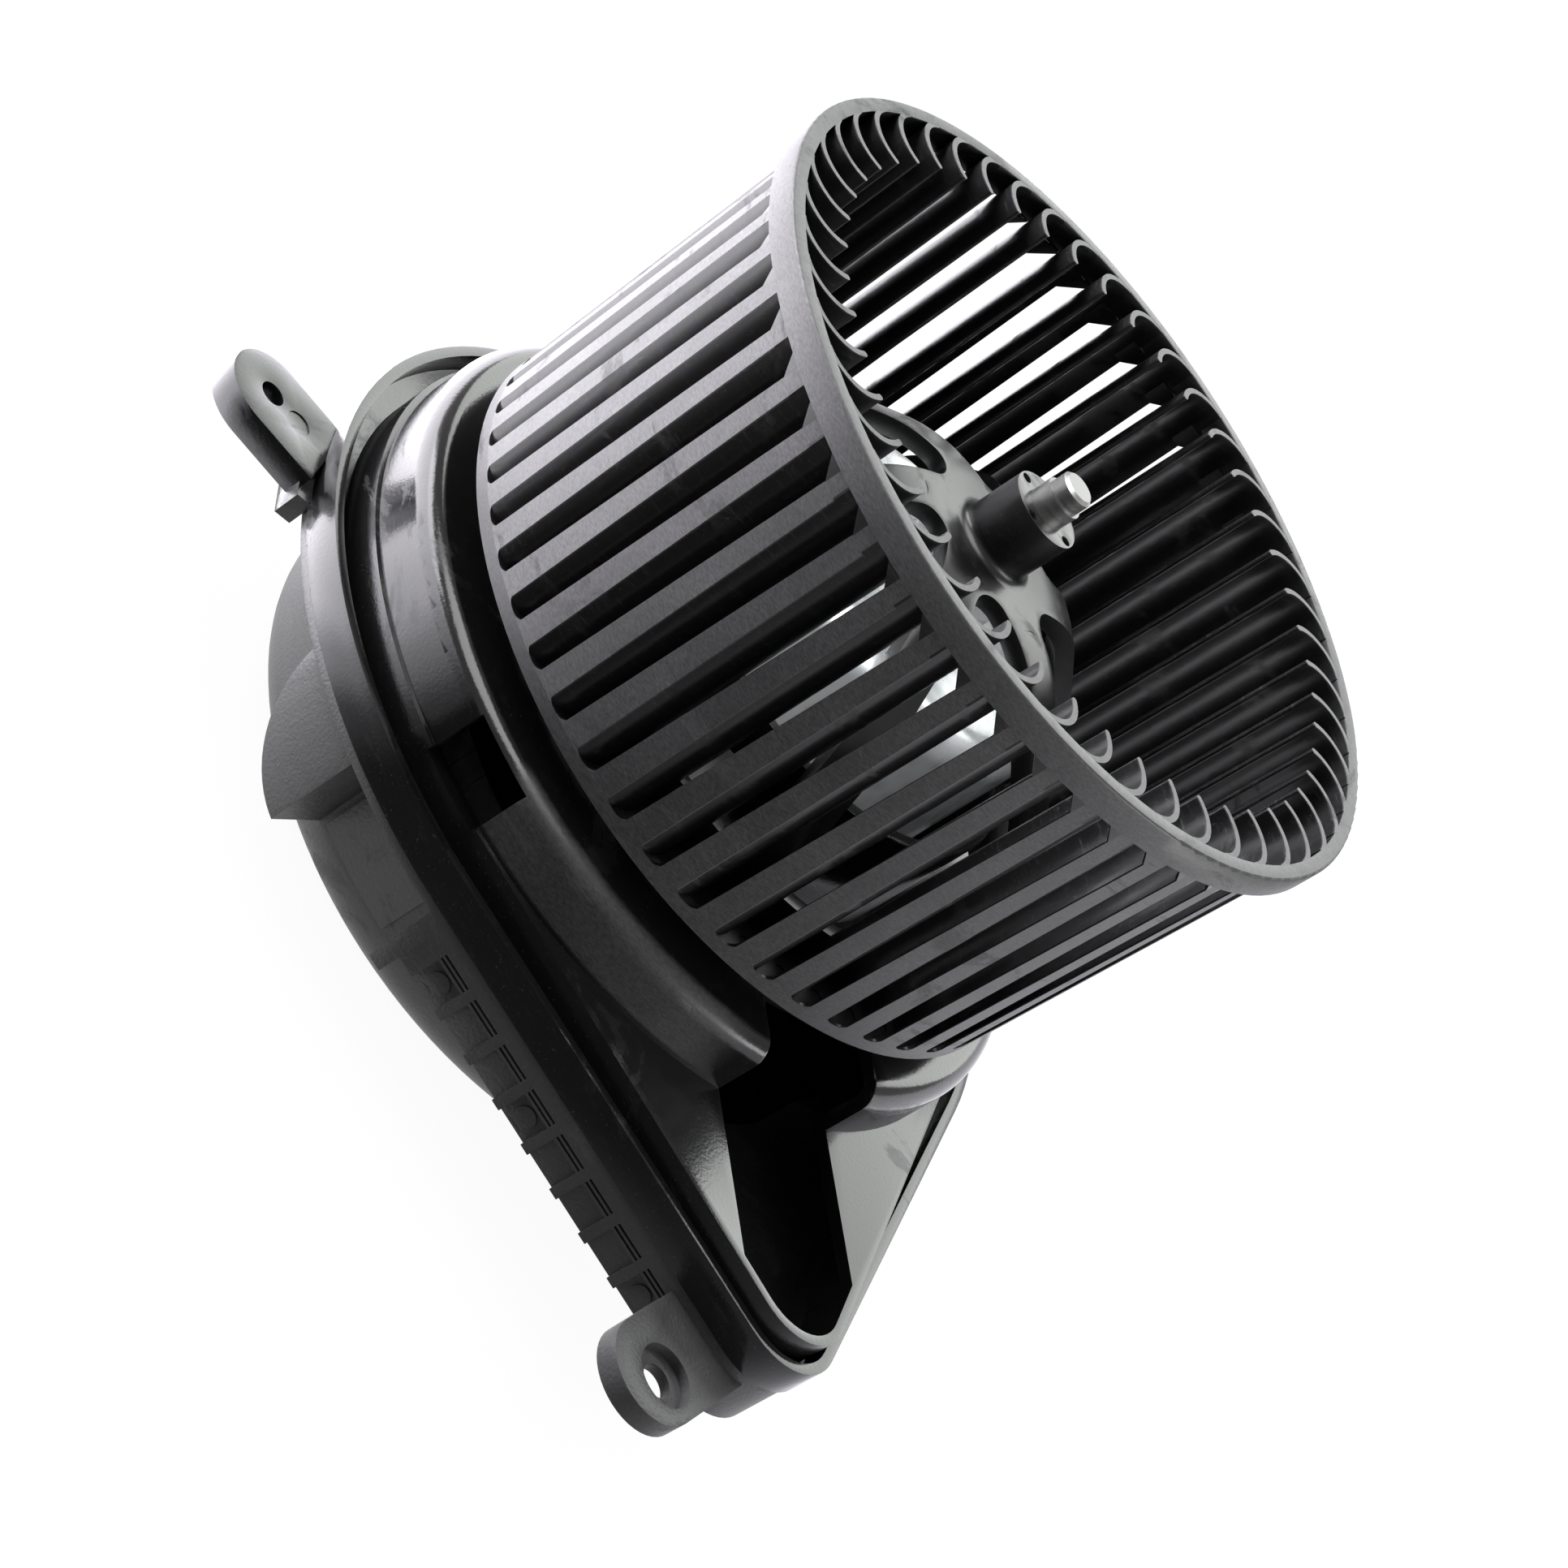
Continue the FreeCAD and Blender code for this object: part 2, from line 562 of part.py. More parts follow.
def motor_can():
    """Drawn steel can with a bearing boss on its closed end and two rows of air slots."""
    radius, wall = dim("can_radius"), dim("can_wall")
    bottom, top = dim("can_bottom"), dim("can_top")
    outside = filleted("can_outside", cylinder("can_blank", radius, bottom, top),
                       dim("can_rounding"), ring_edge(radius, top))
    boss = cylinder("can_boss", dim("boss_radius"), top - wall, dim("boss_top"))
    hollow = filleted("can_hollow", cylinder("can_core", radius - wall, bottom - 1, top - wall),
                      dim("can_rounding") - wall, ring_edge(radius - wall, top - wall))
    seat = cylinder("bearing_seat", dim("bush_radius"), top - wall - 1, dim("boss_top") - 1.2)
    mouth = cylinder("shaft_opening", dim("shaft_radius") + 1.0, top, dim("boss_top") + 1)
    windows = []
    for row, first in (("slot", 45.0), ("vent", 58.0)):
        for i, angle in enumerate(around(4, first)):
            windows.append(radial_box("can_%s_%d" % (row, i), radius - 8, radius + 4,
                                      dim(row + "_width"), dim(row + "_low"), dim(row + "_high"),
                                      angle))
    node("motor_can", cut("can", fuse("can_with_boss", outside, boss), hollow, seat, mouth,
                          *windows))


def magnets():
    """Two ferrite arc magnets against the can wall."""
    outer = dim("can_radius") - dim("can_wall")
    for i, angle in enumerate((90.0, 270.0), start=1):
        ring = revolved("magnet_ring_%d" % i,
                        [(outer - dim("magnet_thickness"), dim("magnet_bottom")),
                         (outer, dim("magnet_bottom")), (outer, dim("magnet_top")),
                         (outer - dim("magnet_thickness"), dim("magnet_top"))])
        reach, spread = 60.0, 64.0
        left, right = polar(reach, angle + spread), polar(reach, angle - spread)
        sector = padded("magnet_sector_%d" % i,
                        [(0, 0), right, polar(reach * 1.3, angle - spread / 2),
                         polar(reach * 1.3, angle + spread / 2), left],
                        dim("magnet_bottom") - 1, dim("magnet_top") + 1)
        node("magnet_%d" % i, common("magnet_arc_%d" % i, ring, sector))


def bearings():
    """Sintered bronze bushes with their spring retainers."""
    gap = dim("bush_gap")
    front_top = dim("boss_top") - 1.2
    rear_bottom = dim("can_bottom") - 3.0
    for label, bottom in (("front_bearing", front_top - dim("bush_length")),
                          ("rear_bearing", rear_bottom)):
        top = bottom + dim("bush_length")
        corners = [(dim("shaft_radius") + gap, bottom), (dim("bush_radius"), bottom),
                   (dim("bush_radius"), top), (dim("shaft_radius") + gap, top)]
        node(label, revolved(label + "_body", corners))
    underside = front_top - dim("bush_length")
    retainer = revolved("retainer_disc", [(dim("shaft_radius") + 1, underside - 0.8),
                                          (15.0, underside - 0.8), (15.0, underside),
                                          (dim("shaft_radius") + 1, underside)])
    fingers = [radial_box("retainer_slot_%d" % i, 9.0, 13.0, 2.0, underside - 2, underside + 1,
                          angle) for i, angle in enumerate(around(6))]
    node("bearing_retainer", cut("retainer", retainer, *fingers))


def brush_gear():
    """Brush card that closes the can, with holders, brushes, springs and chokes."""
    bottom = dim("can_bottom")
    card_top = bottom + dim("card_thickness")
    card = cylinder("card_blank", dim("card_radius"), bottom, card_top)
    boss = cylinder("card_boss", dim("bush_radius") + 2.0, bottom - 5, bottom + 6)
    seat = cylinder("card_seat", dim("bush_radius"), bottom - 3, bottom + 7)
    hole = cylinder("card_hole", dim("shaft_radius") + 1.0, bottom - 6, bottom)
    vents = [radial_box("card_vent_%d" % i, 20.0, 28.0, 5.0, bottom - 1, card_top + 1, angle)
             for i, angle in enumerate(around(4, 45.0))]
    node("brush_card", cut("card", fuse("card_joined", card, boss), seat, hole, *vents))

    low = dim("commutator_bottom") + 1.5
    high = low + dim("brush_height")
    start = dim("commutator_radius") + dim("brush_gap")
    end = start + dim("brush_length")
    width = dim("brush_width")
    for i, angle in enumerate((0.0, 180.0), start=1):
        outer = radial_box("holder_outer_%d" % i, start + 2, end + 8, width + 3, card_top,
                           high + 1.2, angle)
        inner = radial_box("holder_inner_%d" % i, start + 1, end + 9, width + 0.3, low - 0.1,
                           high + 0.1, angle)
        node("brush_holder_%d" % i, cut("holder_%d" % i, outer, inner))
        block = radial_box("brush_block_%d" % i, start - 0.5, end, width, low, high, angle)
        face = cylinder("brush_face_%d" % i, start, low - 1, high + 1)
        node("brush_%d" % i, cut("brush_cut_%d" % i, block, face))
        spot = (*polar(end, angle), (low + high) / 2, angle)
        node("brush_spring_%d" % i, cut("spring_tube_%d" % i,
                                        peg("spring_outside_%d" % i, 1.6, 7.5, *spot),
                                        peg("spring_inside_%d" % i, 1.0, 7.5, *spot)))
    for i, angle in enumerate((62.0, 242.0), start=1):
        x, y = polar(25.0, angle)
        rod = cylinder("choke_rod_%d" % i, 1.6, card_top, card_top + 14, x, y)
        coil = cylinder("choke_coil_%d" % i, 2.6, card_top + 2, card_top + 12, x, y)
        node("choke_%d" % i, fuse("choke_body_%d" % i, rod, coil))


def isolators():
    """Rubber blocks between the can and the carrier's cradle."""
    for i, angle in enumerate(around(3, 30.0), start=1):
        block = radial_box("isolator_block_%d" % i, dim("can_radius") - 2, dim("cradle_inner") + 2,
                           14.0, -8, 18, angle)
        ring = revolved("isolator_ring_%d" % i,
                        [(dim("can_radius"), -8), (dim("cradle_inner"), -8),
                         (dim("cradle_inner"), 18), (dim("can_radius"), 18)])
        node("isolator_%d" % i, common("isolator_arc_%d" % i, block, ring))


# ---------------------------------------------------------------- carrier flange

def carrier_flange():
    depth = -dim("flange_depth")
    floor = depth + dim("floor_thickness")
    tip = (dim("tip_x"), dim("tip_y"))
    inner_tip = (dim("platform_tip_x"), dim("platform_tip_y"))
    wall = dim("flange_wall")
    rim = teardrop("flange_blank", dim("flange_radius"), *tip, dim("tip_radius"), depth, 0)
    groove = teardrop("flange_groove", dim("flange_radius") - wall, *tip,
                      dim("tip_radius") - wall, floor, 1)
    tray = cut("flange_tray", rim, groove)
    platform = teardrop("platform_blank", dim("platform_radius"), *inner_tip,
                        dim("platform_tip_radius"), depth, dim("platform_top"))
    collar = filleted("collar_blank", cylinder("collar_solid", dim("collar_radius"), depth,
                                               dim("collar_top")),
                      dim("collar_rounding"), ring_edge(dim("collar_radius"), dim("collar_top")))
    cap = dim("collar_wall")
    collar_hollow = filleted(
        "collar_hollow", cylinder("collar_core", dim("collar_radius") - cap, depth - 1,
                                  dim("collar_top") - dim("shelf_thickness")),
        2.0, ring_edge(dim("collar_radius") - cap, dim("collar_top") - dim("shelf_thickness")))
    platform_hollow = teardrop("platform_hollow", dim("platform_radius") - cap, *inner_tip,
                               dim("platform_tip_radius") - cap, depth - 1,
                               dim("platform_top") - dim("shelf_thickness"))
    cradle = revolved("cradle", [
        (dim("cradle_inner"), dim("cradle_bottom")),
        (dim("cradle_inner") + dim("cradle_wall"), dim("cradle_bottom")),
        (dim("cradle_inner") + dim("cradle_wall"), dim("cradle_top")),
        (dim("cradle_inner"), dim("cradle_top"))])
    passage = cylinder("motor_passage", dim("cradle_inner"), depth - 2, dim("cradle_top") + 2)
    shell = cut("carrier_shell", fuse("carrier_blank", tray, platform, collar), collar_hollow,
                platform_hollow, passage)
    body = fuse("carrier_with_cradle", shell, cradle, ear(), latch())
    node("carrier_flange", cut("carrier", body, duct_mouth(), collar_window(),
                               *(cradle_arches() + ear_holes())))


def duct_mouth():
    """The cooling-air mouth: a straight slot whose far end follows the platform's tip."""
    slot = box("mouth_slot", dim("mouth_right") - dim("mouth_left"),
               -(dim("tip_y") - dim("mouth_inner_y")) + dim("tip_radius"), -20, 30,
               (number(dim("mouth_left")) + number(dim("mouth_right"))) / 2,
               (number(dim("tip_y")) - number(dim("tip_radius"))
                + number(dim("mouth_inner_y"))) / 2)
    outline = teardrop("mouth_outline", dim("platform_radius") - dim("mouth_rim"),
                       dim("platform_tip_x"), dim("platform_tip_y"),
                       dim("platform_tip_radius") - dim("mouth_rim"), -20, 30)
    return common("mouth_tool", slot, outline)


def collar_window():
    return radial_box("collar_window", dim("collar_radius") - 8, dim("collar_radius") + 4,
                      dim("window_width"), dim("window_bottom"), dim("window_top"),
                      number(dim("window_angle")))


def cradle_arches():
    """Four arched air openings round the cradle."""
    tools = []
    width = dim("arch_width")
    spring_line = dim("arch_high") - width / 2
    inner = dim("cradle_inner") - 2
    outer = dim("cradle_inner") + dim("cradle_wall") + 2
    for i, angle in enumerate(around(4, number(dim("arch_angle")))):
        tools.append(radial_box("arch_%d" % i, inner, outer, width, dim("arch_low"), spring_line,
                                angle))
        tools.append(peg("arch_round_%d" % i, width / 2, outer - inner, *polar(inner, angle),
                         spring_line, angle))
    return tools


def tab(name, x, y, radius, bottom, top, turn, reach):
    """A flat tab with a round end at x, y that runs back towards the flange."""
    end = cylinder(name + "_end", radius, bottom, top, x, y)
    back = math.radians(turn + 180.0)
    middle_x = number(x) + math.cos(back) * number(reach) / 2
    middle_y = number(y) + math.sin(back) * number(reach) / 2
    strap = box(name + "_strap", reach, radius * 2, bottom, top, middle_x, middle_y, turn)
    return fuse(name, end, strap)


def ear():
    low = dim("ear_top") - dim("ear_thickness")
    whole = tab("ear_tab", dim("ear_x"), dim("ear_y"), dim("ear_radius"), low, dim("ear_top"),
                number(dim("ear_turn")), dim("ear_reach"))
    inside = cylinder("ear_trim", dim("flange_radius") - 1.0, low - 1, dim("ear_top") + 1)
    return cut("ear_trimmed", whole, inside, cover_room("ear_room"))


def ear_holes():
    """The screw hole and a shallow ejector mark beside it."""
    top = dim("ear_top")
    return [cylinder("ear_bore", dim("ear_hole"), top - dim("ear_thickness") - 1, top + 1,
                     dim("ear_x"), dim("ear_y")),
            cylinder("ear_mark", dim("ear_mark_radius"), top - 0.3, top + 1, dim("ear_mark_x"),
                     dim("ear_mark_y"))]


def cover_room(name):
    """The space that the rear cover's rim needs below the flange."""
    return cylinder(name, dim("cover_radius") + 0.3, dim("cup_bottom"), -dim("flange_depth"))


def latch():
    """Snap latch beside the ear, over the joint with the rear cover."""
    block = radial_box("latch_block", dim("flange_radius") - 1, dim("flange_radius") + 3.0, 8.0,
                       -11.5, -6.0, 167.0)
    return cut("latch", block, cover_room("latch_room"))


# ---------------------------------------------------------------- rear cover

def rear_cover():
    top = -dim("flange_depth")
    wall = dim("cover_wall")
    tip = (dim("tip_x"), dim("tip_y"))
    rim = teardrop("cover_rim", dim("cover_radius"), *tip, dim("cover_tip_radius"),
                   top - dim("cover_rim"), top)
    tail = tail_block("tail_outside", 0, dim("tail_bottom"), top, dim("tail_start"))
    tail_hollow = tail_block("tail_hollow", wall, dim("tail_bottom") + wall, top + 1,
                             dim("tail_start") - wall)
    cup = filleted("cup_outside", cylinder("cup_blank", dim("cup_radius"), dim("cup_bottom"), top),
                   dim("cup_rounding"), ring_edge(dim("cup_radius"), dim("cup_bottom")))
    cup_hollow = filleted("cup_hollow", cylinder("cup_core", dim("cup_radius") - wall,
                                                 dim("cup_bottom") + wall, top + 1),
                          dim("cup_rounding") - wall,
                          ring_edge(dim("cup_radius") - wall, dim("cup_bottom") + wall))
    scoop, scoop_hollow = cooling_scoop(top)
    body = fuse("cover_blank", rim, tail, cup, scoop, side_panel(), lug(), hook())
    cover = cut("cover_cut", body, tail_hollow, cup_hollow, scoop_hollow,
                *(strip_pockets() + lug_holes()))
    node("rear_cover", fuse("cover", cover, *pocket_studs()))


def tail_block(name, inset, bottom, top, start):
    outline = teardrop(name + "_outline", dim("cover_radius") - inset, dim("tip_x"), dim("tip_y"),
                       dim("cover_tip_radius") - inset, bottom, top)
    span = 200.0
    half = box(name + "_half", span, span, bottom, top, 0, number(start) - span / 2)
    return common(name, outline, half)


def cooling_scoop(top):
    """Rounded hump beside the cup: a quarter of a drum on a radial axis, ending in a flat wall."""
    angle = number(dim("scoop_angle"))
    pieces = []
    for name, inset in (("scoop", 0.0), ("scoop_hollow", number(dim("cover_wall")))):
        drum = doc.addObject("Part::Cylinder", name + "_drum")
        bind(drum, Radius=dim("scoop_rise") - inset, Height=40.0, Angle=90.0)
        outward = FreeCAD.Vector(*polar(1, angle), 0)
        along = FreeCAD.Vector(*polar(1, angle - 90.0), 0)
        frame = FreeCAD.Rotation(along, FreeCAD.Vector(0, 0, -1), outward, "ZXY")
        start = outward * 45.0 + FreeCAD.Vector(0, 0, number(top)) + along * inset
        drum.Placement = FreeCAD.Placement(start, frame)
        limit = cylinder(name + "_limit", dim("scoop_radius") - inset, -45, top + inset)
        pieces.append(common(name, drum, limit))
    return pieces


def side_panel():
    """Shallow raised panel on the cup wall between the scoop and the ribbed side."""
    low, high = dim("panel_bottom"), -dim("flange_depth")
    inner, outer = dim("cup_radius") - 1, dim("cup_radius") + dim("panel_rise")
    ring = revolved("panel_ring", [(inner, low), (outer, low), (outer, high), (inner, high)])
    sector = padded("panel_sector", [(0, 0), polar(120, 205.5), polar(120, 222.0)], low - 1, high)
    return common("panel", ring, sector)


def side_point(along, inset):
    """A place on the flange's long straight side: along it from its start, and inside it."""
    angle = math.radians(number(dim("side_angle")))
    radius = number(dim("cover_radius")) - inset
    x = radius * math.cos(angle) - along * math.sin(angle)
    y = radius * math.sin(angle) + along * math.cos(angle)
    return x, y


def strip_pockets():
    """Shallow pockets in a row along the straight side, each with two fine slots above it."""
    tools = []
    depth = number(dim("pocket_depth"))
    turn = number(dim("side_angle"))
    for i in range(int(number(dim("pocket_count")))):
        along = number(dim("pocket_first")) + i * number(dim("pocket_pitch"))
        x, y = side_point(along, 0)
        tools.append(box("pocket_%d" % i, depth * 2, dim("pocket_width"), dim("pocket_low"),
                         dim("pocket_high"), x, y, turn))
        for j, low in enumerate((-11.9, -11.0)):
            tools.append(box("slot_%d_%d" % (i, j), depth * 2, dim("pocket_width"), low, low + 0.45,
                             x, y, turn))
    return tools


def pocket_studs():
    """Low round studs on the floors of three of the pockets."""
    studs = []
    depth = number(dim("pocket_depth"))
    for i in (0, 3, 7):
        along = number(dim("pocket_first")) + i * number(dim("pocket_pitch"))
        x, y = side_point(along, depth + 0.5)
        studs.append(peg("pocket_stud_%d" % i, dim("stud_radius"), dim("stud_height") + 0.5, x, y,
                         -15.2, number(dim("side_angle"))))
    return studs


def hook():
    x, y = side_point(3.2, 1.2)
    return box("strip_hook", 2.4, 3.0, -23.0, -12.0, x, y, number(dim("side_angle")))


def lug():
    low = dim("lug_top") - dim("lug_thickness")
    whole = tab("lug_tab", dim("lug_centre_x"), dim("lug_y"), dim("lug_radius"), low, dim("lug_top"),
                number(dim("lug_turn")), dim("lug_reach"))
    inside = tail_block("lug_trim", 1.0, low - 1, dim("lug_top") + 1, dim("tail_start"))
    return cut("lug_trimmed", whole, inside)


def lug_holes():
    low = dim("lug_top") - dim("lug_thickness")
    spot = (dim("lug_x"), dim("lug_y"))
    return [cylinder("lug_bore", dim("lug_hole"), low - 1, dim("lug_top") + 1, *spot),
            cylinder("lug_seat", dim("lug_counterbore"), dim("lug_top") - 2, dim("lug_top") + 1,
                     *spot)]


def write_parts():
    doc.recompute()
    for item in doc.Objects:
        if "Invalid" in item.State or "Error" in item.State:
            raise RuntimeError("failed object: %s %s" % (item.Name, item.State))
    os.makedirs("parts", exist_ok=True)
    for label, solid in nodes.items():
        if solid.Shape.isNull() or not solid.Shape.isValid():
            raise RuntimeError("bad shape: " + label)
        solid.Shape.exportStep("parts/%s.step" % label)
        print("%-20s %6.1f cm3 %3d solids" % (label, solid.Shape.Volume / 1000,
                                              len(solid.Shape.Solids)))


wheel_rim()
wheel_blades()
wheel_back_ring()
wheel_hub()
motor_shaft()
armature()
washer("front_thrust_washer", 52.0, 53.2)
motor_can()
magnets()
bearings()
brush_gear()
isolators()
carrier_flange()
rear_cover()
write_parts()
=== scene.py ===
import json
import math

import bpy
from mathutils import Matrix, Vector


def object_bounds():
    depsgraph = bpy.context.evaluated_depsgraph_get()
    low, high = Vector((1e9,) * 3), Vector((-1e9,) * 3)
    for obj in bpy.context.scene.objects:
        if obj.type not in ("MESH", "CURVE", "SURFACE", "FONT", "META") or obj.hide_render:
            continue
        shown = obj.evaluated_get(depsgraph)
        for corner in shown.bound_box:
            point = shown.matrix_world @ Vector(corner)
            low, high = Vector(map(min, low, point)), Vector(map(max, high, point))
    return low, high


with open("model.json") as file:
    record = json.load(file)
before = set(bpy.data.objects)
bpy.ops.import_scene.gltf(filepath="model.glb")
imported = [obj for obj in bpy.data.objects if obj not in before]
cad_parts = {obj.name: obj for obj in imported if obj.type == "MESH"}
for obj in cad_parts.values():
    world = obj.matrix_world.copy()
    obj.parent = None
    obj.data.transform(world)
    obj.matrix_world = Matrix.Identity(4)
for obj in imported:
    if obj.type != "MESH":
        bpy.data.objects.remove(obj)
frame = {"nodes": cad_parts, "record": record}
CAD_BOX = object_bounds()
MM = 0.001


# ---------------------------------------------------------------- node helpers

class Nodes:
    """A small builder for one material's node tree."""

    def __init__(self, name):
        self.material = bpy.data.materials.new(name)
        self.material.use_nodes = True
        self.tree = self.material.node_tree
        self.shader = self.tree.nodes["Principled BSDF"]
        place = self.tree.nodes.new("ShaderNodeTexCoord")
        self.point = place.outputs["Object"]

    def add(self, kind, **inputs):
        node = self.tree.nodes.new(kind)
        for name, value in inputs.items():
            self.set(node.inputs[name.replace("_", " ")], value)
        return node

    def set(self, socket, value):
        if isinstance(value, bpy.types.NodeSocket):
            self.tree.links.new(value, socket)
        else:
            socket.default_value = value

    def stretched(self, scale, turn=(0, 0, 0)):
        node = self.add("ShaderNodeMapping", Vector=self.point, Scale=scale, Rotation=turn)
        return node.outputs["Vector"]

    def noise(self, scale, detail=4.0, rough=0.55, vector=None, distortion=0.0):
        node = self.add("ShaderNodeTexNoise", Vector=vector or self.point, Scale=scale,
                        Detail=detail, Roughness=rough, Distortion=distortion)
        return node.outputs["Fac"]

    def cells(self, scale, vector=None):
        node = self.add("ShaderNodeTexVoronoi", Vector=vector or self.point, Scale=scale)
        return node.outputs["Distance"]

    def ramp(self, value, low, high, out_low=0.0, out_high=1.0):
        node = self.add("ShaderNodeMapRange", Value=value, From_Min=low, From_Max=high,
                        To_Min=out_low, To_Max=out_high)
        return node.outputs["Result"]

    def math(self, operation, first, second=0.0):
        node = self.tree.nodes.new("ShaderNodeMath")
        node.operation = operation
        self.set(node.inputs[0], first)
        self.set(node.inputs[1], second)
        return node.outputs[0]

    def mix(self, factor, first, second):
        node = self.tree.nodes.new("ShaderNodeMix")
        node.data_type = "RGBA"
        self.set(node.inputs["Factor"], factor)
        self.set(node.inputs["A"], colour(first))
        self.set(node.inputs["B"], colour(second))
        return node.outputs["Result"]

    def bump(self, height, strength, distance, normal=None):
        node = self.add("ShaderNodeBump", Height=height, Strength=strength, Distance=distance)
        if normal is not None:
            self.set(node.inputs["Normal"], normal)
        return node.outputs["Normal"]

    def finish(self, **sockets):
        for name, value in sockets.items():
            self.set(self.shader.inputs[name.replace("_", " ")], value)
        return self.material


def colour(value):
    if isinstance(value, (int, float)):
        return (value, value, value, 1.0)
    if isinstance(value, tuple) and len(value) == 3:
        return value + (1.0,)
    return value


# ---------------------------------------------------------------- places on the object

BLADES = 48
FULL_TURN = 360.0

# The wheel's outside is a slight cone, and its open end is flat.
CONE_RADIUS, CONE_SLOPE = 70.139 * MM, 0.02366
CONE_SKIN = (-0.16 * MM, -0.09 * MM)
OPEN_END = (89.9 * MM, 90.0 * MM)

# A blade's outside face, as parts of the spacing between two blades.
FACE_MIDDLE, FACE_HALF = 0.59, 0.15
WEB_BOTTOM, RIM_INSIDE = 80.4 * MM, 74.0 * MM

# The collar's wall between its window and the mouth of the duct: each pair fades in or out.
PANEL_START, PANEL_END = (214.0, 217.0), (262.0, 256.0)
WALL_INSIDE, WALL_OUTSIDE = (72.0 * MM, 73.0 * MM), (79.0 * MM, 78.0 * MM)
WALL_FOOT = (0.6 * MM, 1.2 * MM)


def round_place(n):
    """Distance from the fan axis, compass angle about it in degrees, and height."""
    x, y, z = n.add("ShaderNodeSeparateXYZ", Vector=n.point).outputs
    radius = n.math("SQRT", n.math("ADD", n.math("MULTIPLY", x, x), n.math("MULTIPLY", y, y)))
    turn = n.math("DEGREES", n.math("ARCTAN2", y, x))
    behind = n.math("MULTIPLY", n.math("LESS_THAN", turn, 0.0), FULL_TURN)
    return radius, n.math("ADD", turn, behind), z


def rubbed_panel(n):
    """1 on the collar's wall between its window and the mouth of the duct, 0 elsewhere."""
    radius, angle, z = round_place(n)
    around = n.math("MULTIPLY", n.ramp(angle, *PANEL_START), n.ramp(angle, *PANEL_END))
    wall = n.math("MULTIPLY", n.ramp(radius, *WALL_INSIDE), n.ramp(radius, *WALL_OUTSIDE))
    return n.math("MULTIPLY", n.math("MULTIPLY", around, wall), n.ramp(z, *WALL_FOOT))


def worn_outside(n):
    """1 on the wheel's turned outside and on its open end, 0 elsewhere."""
    radius, angle, z = round_place(n)
    cone = n.math("ADD", n.math("MULTIPLY", z, CONE_SLOPE), CONE_RADIUS)
    side = n.ramp(n.math("SUBTRACT", radius, cone), *CONE_SKIN)
    end = n.ramp(z, *OPEN_END)
    return n.math("MAXIMUM", n.math("MULTIPLY", side, beside_webs(n, angle, z, radius)), end)


def beside_webs(n, angle, z, radius):
    """0 on the small webs between the blades behind the rim, 1 elsewhere."""
    part = n.math("FRACT", n.math("MULTIPLY", angle, BLADES / FULL_TURN))
    off_middle = n.math("ABSOLUTE", n.math("SUBTRACT", part, FACE_MIDDLE))
    on_blade = n.math("LESS_THAN", off_middle, FACE_HALF)
    below = n.math("LESS_THAN", z, WEB_BOTTOM)
    rim = n.math("GREATER_THAN", radius, RIM_INSIDE)
    return n.math("MAXIMUM", on_blade, n.math("MAXIMUM", below, rim))


# ---------------------------------------------------------------- materials
# Noise and cell scales are cycles per metre, and bump distances are metres.

SMEAR_ROUGHENS, SCRATCH_ROUGHENS, WEAR_ROUGHENS = 0.20, 0.18, 0.22
SCRATCH_TONE, DUST_TONE = 0.10, 0.25


def shades(tone, dark, light):
    """A darker and a lighter version of one colour."""
    return tuple(c * dark for c in tone), tuple(c * light for c in tone)


def moulded_plastic(name, tone, roughness, scratch, grain, worn_place=None, worn_tone=None):
    """Black moulded plastic: soft colour drift, fine scratches, handling smears and dust.

    Where worn_place is 1 it is rubbed to the worn tone, with a short grain across it.
    """
    n = Nodes(name)
    drift = n.noise(22.0, 5.0)
    dust = n.ramp(n.noise(1900.0, 2.0, 0.7), 0.66, 0.74)
    smears = n.ramp(n.noise(34.0, 6.0, 0.7, n.stretched((1, 1, 2.6)), 0.8), 0.57, 0.63)
    fine = n.ramp(n.noise(2400.0, 3.0, 0.6, n.stretched((0.10, 0.10, 1))), 0.58, 0.74)
    cross = n.ramp(n.noise(420.0, 3.0, 0.6, n.stretched((0.04, 1, 1), (0.3, 0.5, 0.9))), 0.66, 0.8)
    scratches = n.math("MULTIPLY", n.math("MAXIMUM", fine, cross), scratch)
    base = n.mix(n.ramp(drift, 0.3, 0.7), *shades(tone, 0.85, 1.2))
    base = n.mix(n.math("MULTIPLY", scratches, 0.22), base, SCRATCH_TONE)
    base = n.mix(n.math("MULTIPLY", dust, 0.10), base, DUST_TONE)
    rough = n.math("ADD", n.ramp(smears, 0, 1, roughness, roughness + SMEAR_ROUGHENS),
                   n.math("MULTIPLY", scratches, SCRATCH_ROUGHENS))
    if worn_place is not None:
        worn = worn_place(n)
        grains = n.noise(3400.0, 3.0, 0.7, n.stretched((0.3, 0.3, 1)))
        patches = n.noise(70.0, 5.0)
        scuffed = n.mix(n.ramp(grains, 0.35, 0.65), *shades(worn_tone, 0.6, 1.5))
        scuffed = n.mix(n.ramp(patches, 0.35, 0.65, 0.0, 0.3), scuffed, tone)
        base = n.mix(worn, base, scuffed)
        rough = n.math("ADD", rough, n.math("MULTIPLY", worn, WEAR_ROUGHENS))
    skin = n.bump(n.noise(grain[0], 3.0), grain[1], 0.0001)
    skin = n.bump(scratches, 0.12, 0.00006, skin)
    return n.finish(Base_Color=base, Roughness=rough, Normal=skin, IOR=1.5)


def wheel_plastic():
    return moulded_plastic("wheel_plastic", (0.0045, 0.0045, 0.0047), 0.30, 0.5, (2600.0, 0.12),
                           worn_outside, (0.027, 0.0262, 0.0276))


